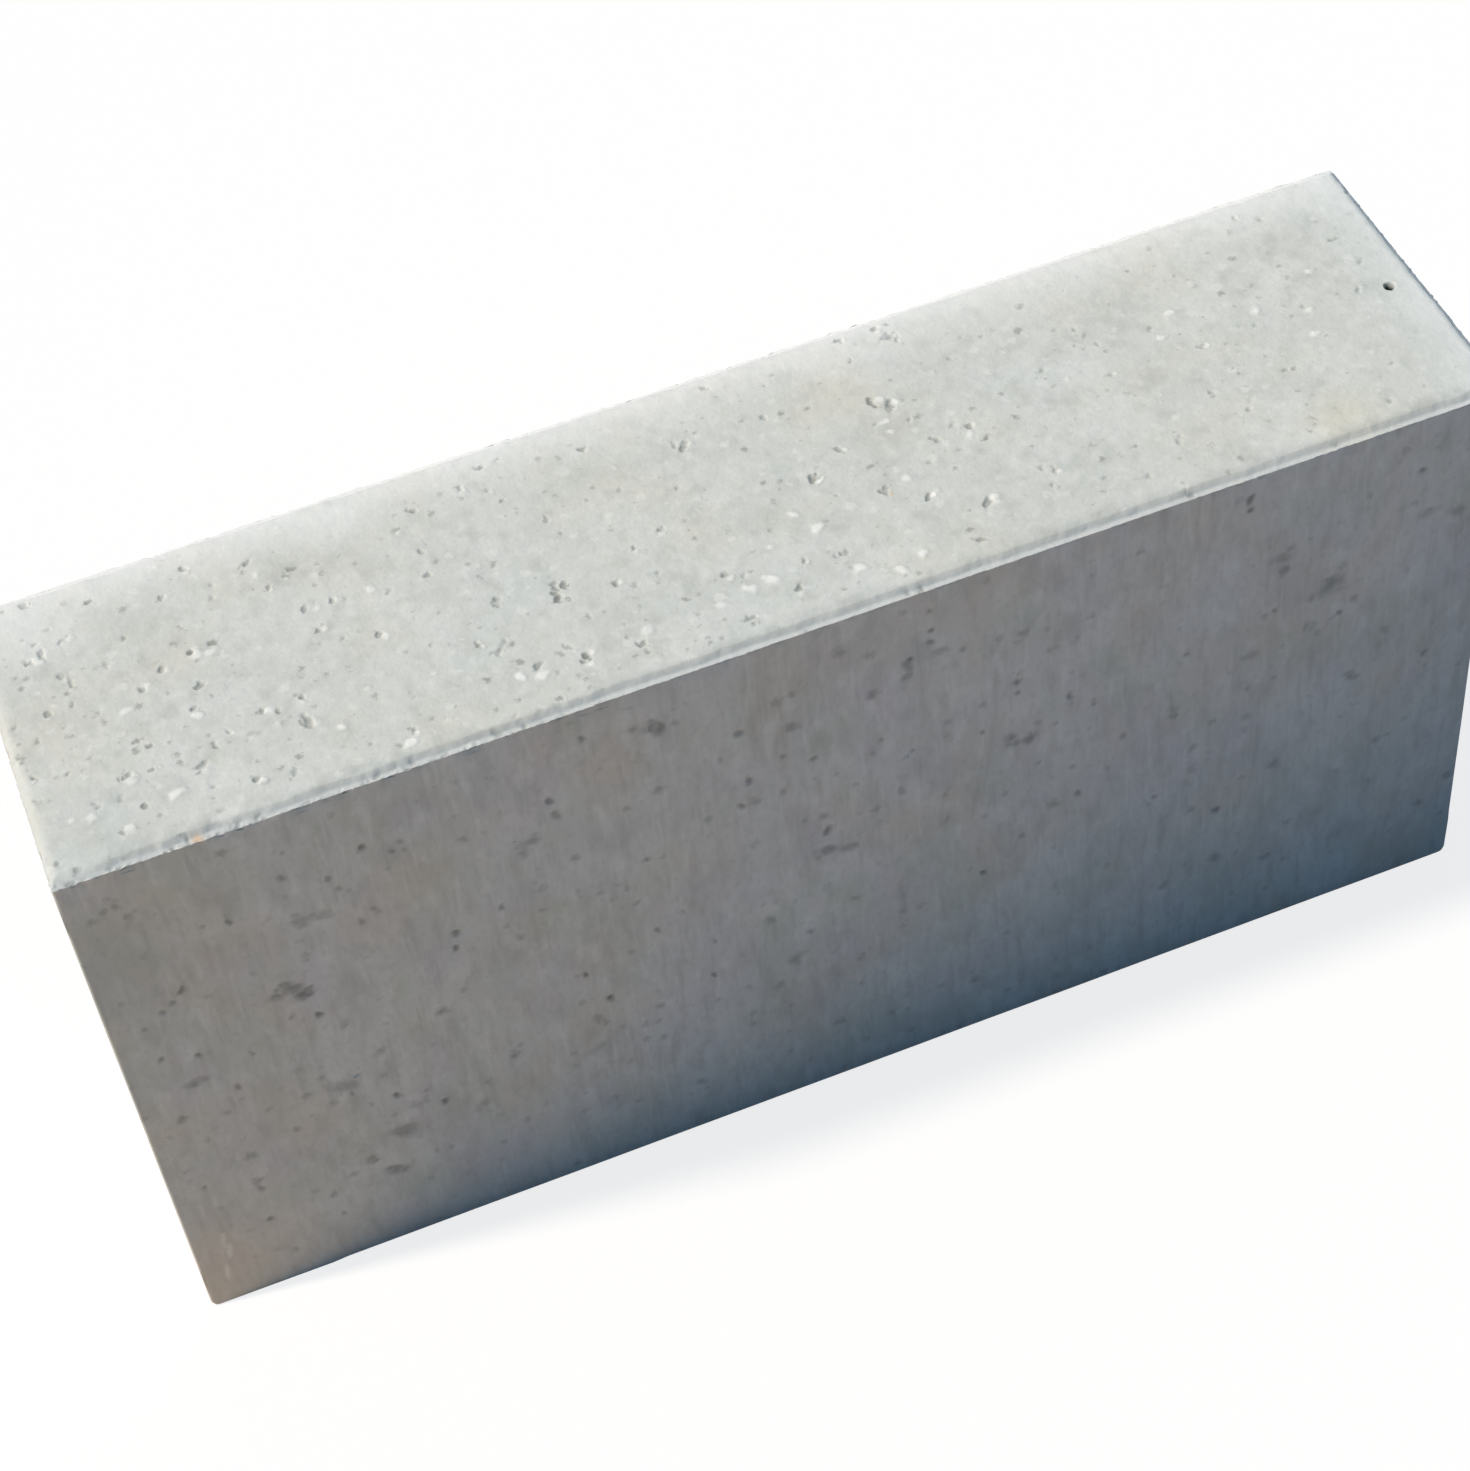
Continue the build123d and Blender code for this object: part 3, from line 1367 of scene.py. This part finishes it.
@dataclass(frozen=True)
class ShoePressedConcrete(PressedConcrete):
    """Concrete pressed flat by the shoe: a pale, dry skin of cement paste with sand showing through it."""

    stain_at: Vector
    rust_at: Vector
    ochre_at: tuple[Vector, ...]
    pale_at: tuple[Vector, ...]
    back_edge: float
    right_edge: float
    ledge: float
    slope: float
    skin: str = "#D1D4CF"
    relief: tuple[Grit, ...] = (Grit(1.8, 0.06, 2.0), Grit(7.0, 0.6, 4.0))

    def layers(self) -> tuple[Layer, ...]:
        """Lists what lies on the skin.

        Returns:
            Paste clouds, sand, a dull ledge, dried edges, stains and the tints of pits and grains.
        """
        return (
            Veil("#DCDEDA", (42, 42, 42), 0.45, 0.75, 0.7, 0.0),
            Veil("#C1C4BE", (27, 27, 27), 0.5, 0.75, 0.6, 3.0),
            Veil("#D6D0C2", (55, 55, 55), 0.48, 0.75, 0.45, 7.0),
            Veil("#CAD4D6", (48, 48, 48), 0.48, 0.75, 0.25, 11.0),
            Veil("#BBBEB7", (9, 9, 9), 0.5, 0.75, 0.55, 5.0),
            Veil("#E3E5E1", (6, 6, 6), 0.52, 0.75, 0.45, 9.0),
            Veil("#BFC1BB", (2, 2, 2), 0.5, 0.8, 0.25, 15.0),
            # Dark specks: the finest pits, their shade painted on as grey
            Specks("#8C8E88", 7.0, 2.4, 0.6, 0.0, 0.6, 0.2),
            Specks("#9A9C96", 4.5, 1.6, 0.5, 21.0, 0.6, 0.2),
            Specks("#E4E6E1", 8.0, 3.0, 0.5, 4.0),
            EdgeTint("#C6CBCB", 2, self.ledge, -self.slope, 0.75),
            EdgeTint("#F7F8F6", 1, self.back_edge, 40 * MM, 0.85),
            EdgeTint("#E0E6E6", 0, self.right_edge, 45 * MM, 0.8),
            Spot("#DFD8C0", self.stain_at, 22 * MM, 0.35),
            *(Spot("#E8EAE7", at, 24 * MM, 0.6) for at in self.pale_at),
            Spot("#E6C096", self.rust_at, 3.0 * MM, 0.75),
            *(Spot("#DDB98A", at, 1.5 * MM, 0.6) for at in self.ochre_at),
            # Grey in pits and soft hollows: partly grime, partly painted shade
            Flawed("#6D7069", "hollow"),
            # Near black where the note passes 0.6, in the open bubble above all: painted shade over the
            # whole hole
            Flawed("#1A1D1C", "hollow", 0.6, 0.9),
            # Pale grains; on the crumbs beside pits this pale is a painted highlight of the pit's lit side
            Flawed("#EEEFEB", "grain"),
        )

    def material(self) -> bpy.types.Material:
        """Returns the finished material of the top."""
        return self.dress("pressed_concrete_top", self.skin, self.relief)


@dataclass(frozen=True)
class MouldWallConcrete(PressedConcrete):
    """Concrete drawn along the mould's steel walls: faint upright drag marks and dark open patches.

    The patches' dark is painted shade in their shallow dents.
    """

    dull_at: Vector
    painted_bounce_at: Vector
    skin: str = "#CFCFCE"
    relief: tuple[Grit, ...] = (Grit(1.8, 0.1, 2.0),)

    def layers(self) -> tuple[Layer, ...]:
        """Lists what lies on the skin.

        Returns:
            Tinted clouds, blotches, drag marks, pinholes, a dull shoulder and a foot warmed by painted
            bounce light, the painted shade of dents, and the tint of scratches.
        """
        return (
            Veil("#D8D8D7", (50, 50, 70), 0.45, 0.75, 0.6, 0.0),
            Veil("#B4B5B3", (30, 30, 45), 0.48, 0.72, 0.4, 3.0),
            Veil("#CFC5B8", (45, 45, 60), 0.46, 0.7, 0.5, 7.0),
            Veil("#C5C1CD", (40, 40, 60), 0.48, 0.72, 0.35, 13.0),
            Veil("#BBC2B6", (38, 38, 50), 0.5, 0.74, 0.5, 17.0),
            Veil("#A2A3A0", (8, 8, 18), 0.5, 0.74, 0.28, 5.0),
            Veil("#E0E0DF", (9, 9, 16), 0.52, 0.76, 0.5, 29.0),
            Veil("#ACADAB", (3, 3, 4.5), 0.5, 0.76, 0.3, 31.0),
            Veil("#E6E6E5", (2.6, 2.6, 22), 0.56, 0.74, 0.25, 19.0),
            Veil("#A39F9D", (4.5, 4.5, 28), 0.53, 0.76, 0.3, 23.0),
            Specks("#777877", 13.0, 4.4, 0.6, 2.0, soft=0.3),
            Specks("#8F908E", 8.0, 3.2, 0.5, 6.0, soft=0.3),
            Spot("#A6A79E", self.dull_at, 50 * MM, 0.3),
            # Painted warm bounce light from the floor, at the foot of the left end
            Spot("#E0CEBD", self.painted_bounce_at, 70 * MM, 0.35),
            # Painted shade, dark grey, in the walls' shallow dents and open patches
            Flawed("#5F6160", "smudge", grit_mm=3.5, least=0.6),
            Flawed("#EAE6E0", "grain"),
        )

    def material(self) -> bpy.types.Material:
        """Returns the finished material of the walls."""
        return self.dress("pressed_concrete_wall", self.skin, self.relief)


@dataclass(frozen=True)
class Studio:
    """The floor and the light: one soft key from the left, a little behind, under a dim bluish dome."""

    key_from: tuple[float, float, float] = (-0.65, 0.08, 0.75)
    key_strength: float = 3.58
    key_colour: Colour = (1.0, 0.9, 0.795, 1.0)
    key_angle: float = 4.0
    dome_colour: Colour = (0.115, 0.2, 0.29, 1.0)
    floor_size: float = 12.0
    warm_bounce: Colour = (0.645, 0.515, 0.35, 1.0)
    plain_bounce: Colour = (0.93, 0.81, 0.76, 1.0)
    warm_from: float = -0.45
    plain_from: float = 0.25
    floor_shade: Colour = (0.02, 0.06, 0.11, 1.0)
    shade_from: tuple[float, float, float] = (-0.3, -0.075, 0.0)
    shade_turn: float = 31.0
    shade_ramp: float = 0.03
    shade_back: float = -0.055
    white_glow: float = 0.8
    white_floor: float = 0.2

    def seen_directly(self, tree: bpy.types.NodeTree) -> bpy.types.NodeSocket:
        """Adds the test for rays that show the background itself.

        Args:
            tree: The tree that the test goes into.

        Returns:
            A socket that is one for what the camera sees, also in a gloss or through glass.
        """
        rays = add_node(tree, "ShaderNodeLightPath")
        plain = add_node(
            tree, "ShaderNodeMath", {"operation": "MAXIMUM"},
            {0: rays.outputs["Is Camera Ray"], 1: rays.outputs["Is Glossy Ray"]},
        )
        through = add_node(
            tree, "ShaderNodeMath", {"operation": "MAXIMUM"},
            {0: plain.outputs[0], 1: rays.outputs["Is Transmission Ray"]},
        )
        return through.outputs[0]

    def bounce(self, tree: bpy.types.NodeTree) -> bpy.types.NodeSocket:
        """Adds what the floor throws back: warmest by the left end, and least in the stone's shade.

        Args:
            tree: The floor material's tree.

        Returns:
            The shader's socket.
        """
        place = add_node(tree, "ShaderNodeTexCoord").outputs["Object"]
        along = add_node(tree, "ShaderNodeSeparateXYZ", None, {0: place})
        plain = add_node(
            tree, "ShaderNodeMapRange", {"From Min": self.warm_from, "From Max": self.plain_from},
            {"Value": along.outputs["X"]},
        )
        lit = add_node(
            tree, "ShaderNodeMix", {"data_type": "RGBA", 6: self.warm_bounce, 7: self.plain_bounce},
            {0: plain.outputs[0]},
        )
        turn = (0, 0, -math.radians(self.shade_turn))
        turned = add_node(
            tree, "ShaderNodeMapping",
            {"vector_type": "TEXTURE", "Location": self.shade_from, "Rotation": turn}, {"Vector": place},
        )
        inwards = add_node(tree, "ShaderNodeSeparateXYZ", None, {0: turned.outputs[0]})
        shade = add_node(
            tree, "ShaderNodeMapRange", {"From Min": 0.0, "From Max": self.shade_ramp},
            {"Value": inwards.outputs["Y"]},
        )
        ahead = add_node(
            tree, "ShaderNodeMapRange", {"From Min": self.shade_back, "From Max": self.shade_from[1]},
            {"Value": along.outputs["Y"]},
        )
        both = add_node(
            tree, "ShaderNodeMath", {"operation": "MULTIPLY"}, {0: shade.outputs[0], 1: ahead.outputs[0]}
        )
        colour = add_node(
            tree, "ShaderNodeMix", {"data_type": "RGBA", 7: self.floor_shade},
            {0: both.outputs[0], 6: lit.outputs[2]},
        )
        return add_node(tree, "ShaderNodeBsdfDiffuse", None, {"Color": colour.outputs[2]}).outputs[0]

    def floor(self) -> bpy.types.Object:
        """Makes the floor, which is white to the eye and keeps the stone's shadow.

        Returns:
            The floor object.
        """
        mesh = bmesh.new()
        bmesh.ops.create_grid(mesh, x_segments=1, y_segments=1, size=self.floor_size / 2)
        data = bpy.data.meshes.new("floor")
        mesh.to_mesh(data)
        mesh.free()
        made = bpy.data.materials.new("white_floor")
        made.use_nodes = True
        tree = made.node_tree
        tree.nodes.clear()
        shadow = add_node(tree, "ShaderNodeBsdfDiffuse", {"Color": (*(self.white_floor,) * 3, 1.0)})
        glow = add_node(tree, "ShaderNodeEmission", {"Color": (1, 1, 1, 1), "Strength": self.white_glow})
        white = add_node(tree, "ShaderNodeAddShader", None, {0: shadow.outputs[0], 1: glow.outputs[0]})
        both = add_node(
            tree, "ShaderNodeMixShader", None,
            {0: self.seen_directly(tree), 1: self.bounce(tree), 2: white.outputs[0]},
        )
        add_node(tree, "ShaderNodeOutputMaterial", None, {"Surface": both.outputs[0]})
        data.materials.append(made)
        floor = bpy.data.objects.new("floor", data)
        bpy.context.scene.collection.objects.link(floor)
        return floor

    def light(self) -> None:
        """Sets the key lamp and the dome."""
        data = bpy.data.lights.new("key", "SUN")
        data.energy = self.key_strength
        data.color = self.key_colour[:3]
        data.angle = math.radians(self.key_angle)
        key = bpy.data.objects.new("key", data)
        key.rotation_mode = "QUATERNION"
        key.rotation_quaternion = Vector(self.key_from).to_track_quat("Z", "Y")
        bpy.context.scene.collection.objects.link(key)
        world = bpy.data.worlds.new("dome")
        world.use_nodes = True
        tree = world.node_tree
        tree.nodes.clear()
        dome = add_node(tree, "ShaderNodeBackground", {"Color": self.dome_colour})
        white = add_node(tree, "ShaderNodeBackground", {"Color": (1, 1, 1, 1)})
        both = add_node(
            tree, "ShaderNodeMixShader", None,
            {0: self.seen_directly(tree), 1: dome.outputs[0], 2: white.outputs[0]},
        )
        add_node(tree, "ShaderNodeOutputWorld", None, {"Surface": both.outputs[0]})
        bpy.context.scene.world = world


def main() -> None:
    """Builds the stone, the studio and the camera, and reports each piece."""
    logging.basicConfig(level=logging.INFO, format="%(name)s: %(message)s")
    bpy.context.scene.view_settings.view_transform = "Standard"
    camera = PhotoCamera()
    camera.build()
    stone = Curbstone(camera).build()
    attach(stone, "root")
    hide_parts(NODE)
    triangles = sum(len(face.vertices) - 2 for face in stone.data.polygons)
    LOG.info("%s: %d triangles", stone.name, triangles)
    studio = Studio()
    LOG.info("%s: %.0f m wide", studio.floor().name, studio.floor_size)
    studio.light()
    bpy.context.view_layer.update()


if __name__ == "__main__":
    main()
